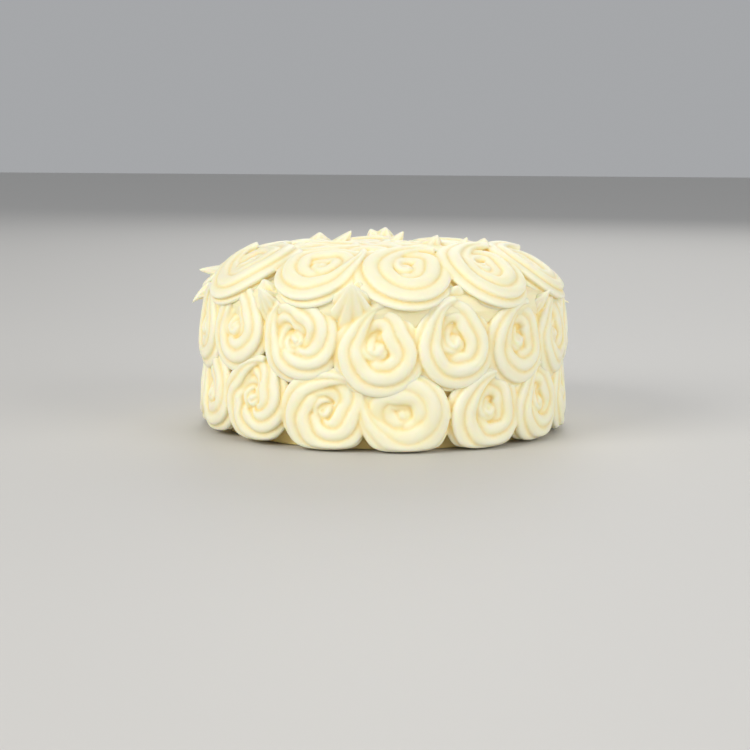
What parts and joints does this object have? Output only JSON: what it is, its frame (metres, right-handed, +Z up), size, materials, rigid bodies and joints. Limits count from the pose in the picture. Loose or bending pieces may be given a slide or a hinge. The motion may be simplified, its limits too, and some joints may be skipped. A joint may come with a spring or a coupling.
{
  "type": "red velvet cake",
  "caption": "Small round uncut layer cake covered all over in ivory cream frosting, piped in touching swirled rosettes with pulled tips on its side and top.",
  "frame": {"origin": "centre of the flat base, on the axis of the cake", "axes": "+Z up through the cake, -Y towards the front of the picture, +X to its right"},
  "size_m": [0.1829, 0.1832, 0.091],
  "materials": {
    "frosting": "soft satin ivory cream frosting, warmer and more yellow in its creases"
  },
  "bodies": {
    "root": {"frosted_cake": "frosting"}
  },
  "joints": []
}
